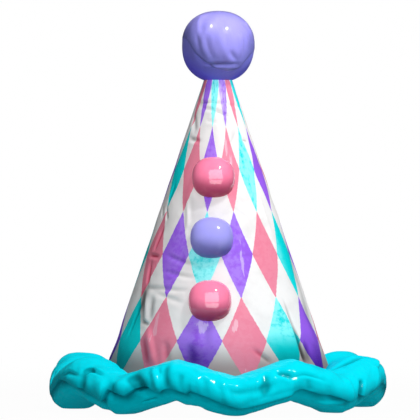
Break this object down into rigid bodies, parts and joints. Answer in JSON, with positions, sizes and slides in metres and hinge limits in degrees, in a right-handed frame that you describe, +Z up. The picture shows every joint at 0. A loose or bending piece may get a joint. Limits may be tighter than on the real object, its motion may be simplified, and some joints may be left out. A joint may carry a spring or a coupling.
{
  "type": "clown hat",
  "caption": "Soft cone hat printed with harlequin diamonds, with a padded wavy brim, a stuffed ball on its tip and ball buttons down its front.",
  "frame": {"origin": "centre of the surface that the brim stands on, under the tip", "axes": "+Z up along the cone's axis, -Y to the front where the buttons are, +X to the right seen from the front"},
  "size_m": [0.2707, 0.2707, 0.3189],
  "materials": {
    "cone_cloth": "smooth satin cloth printed with diamonds",
    "brim_satin": "glossy stuffed satin",
    "ball_satin": "stuffed satin with soft folds",
    "button_pink": "smooth and glossy",
    "button_periwinkle": "smooth and glossy"
  },
  "bodies": {
    "root": {"crown_cone": "cone_cloth", "brim_roll": "brim_satin", "top_ball": "ball_satin", "button_top": "button_pink", "button_middle": "button_periwinkle", "button_bottom": "button_pink"}
  },
  "joints": []
}
